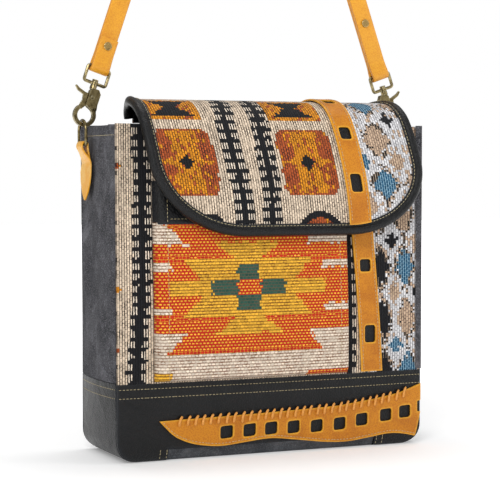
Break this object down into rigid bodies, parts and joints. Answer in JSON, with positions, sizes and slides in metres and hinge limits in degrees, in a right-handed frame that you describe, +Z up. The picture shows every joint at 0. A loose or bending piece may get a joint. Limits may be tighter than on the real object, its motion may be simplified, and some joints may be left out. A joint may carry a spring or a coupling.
{
  "type": "shoulder bag",
  "caption": "Patchwork shoulder bag in woven rug cloth and canvas with a flap, patch pocket, leather foot and pierced trims, and a leather strap on trigger clips.",
  "frame": {"origin": "centre of the flat base", "axes": "+Z up through the strap, front of the bag faces -Y, +X to the right seen from the front"},
  "size_m": [0.3222, 0.118, 0.6377],
  "materials": {
    "ladder_weave": "woven",
    "diamond_weave": "woven",
    "pocket_weave": "woven",
    "grey_canvas": "washed",
    "black_leather": "satin",
    "yellow_leather": "satin",
    "lining_cloth": "matt",
    "antique_brass": "antique",
    "lace": "matt"
  },
  "bodies": {
    "root": {"back_panel": "grey_canvas", "base_back_band": "black_leather", "base_front_band": "black_leather", "base_lacing": "lace", "base_left_band": "black_leather", "base_right_band": "black_leather", "base_trim": "yellow_leather", "bottom_panel": "grey_canvas", "flap_hinge_strip": "black_leather", "front_diamond_panel": "diamond_weave", "front_ladder_panel": "ladder_weave", "front_strip": "yellow_leather", "front_strip_backing": "black_leather", "left_gusset": "grey_canvas", "left_link": "antique_brass", "left_ring": "antique_brass", "left_rivet": "antique_brass", "left_tab": "yellow_leather", "lining": "lining_cloth", "pocket_facing": "black_leather", "pocket_pouch": "pocket_weave", "right_gusset": "grey_canvas", "right_link": "antique_brass", "right_ring": "antique_brass", "right_rivet_lower": "antique_brass", "right_rivet_upper": "antique_brass", "right_tab": "yellow_leather", "strap": "yellow_leather"},
    "flap": {"flap_ladder_panel": "ladder_weave", "flap_diamond_panel": "diamond_weave", "flap_lining": "lining_cloth", "flap_rim": "black_leather", "flap_strip": "yellow_leather", "flap_strip_backing": "black_leather"},
    "left_clip": {"left_hook": "antique_brass", "left_lever_pin": "antique_brass"},
    "left_trigger": {"left_lever": "antique_brass"},
    "right_clip": {"right_hook": "antique_brass", "right_lever_pin": "antique_brass"},
    "right_trigger": {"right_lever": "antique_brass"}
  },
  "joints": [
    {"name": "flap_hinge", "type": "hinge", "parent": "root", "child": "flap", "pos_m": [0, 0.021, 0.2878], "axis": [-1, 0, 0], "range_deg": [0, 50]},
    {"name": "left_clip_swivel", "type": "hinge", "parent": "root", "child": "left_clip", "pos_m": [-0.1415, 0.02, 0.32196], "axis": [0.3256, 0, 0.9455], "range_deg": [-30, 30]},
    {"name": "left_trigger_pivot", "type": "hinge", "parent": "left_clip", "child": "left_trigger", "pos_m": [-0.14443, 0.02, 0.30975], "axis": [0, -1, 0], "range_deg": [0, 25], "stiffness_Nm_per_rad": 0.002, "springref_deg": -20.05},
    {"name": "right_clip_swivel", "type": "hinge", "parent": "root", "child": "right_clip", "pos_m": [0.1415, 0.02, 0.32196], "axis": [-0.3256, 0, 0.9455], "range_deg": [-30, 30]},
    {"name": "right_trigger_pivot", "type": "hinge", "parent": "right_clip", "child": "right_trigger", "pos_m": [0.14443, 0.02, 0.30975], "axis": [0, 1, 0], "range_deg": [0, 25], "stiffness_Nm_per_rad": 0.002, "springref_deg": -20.05}
  ]
}
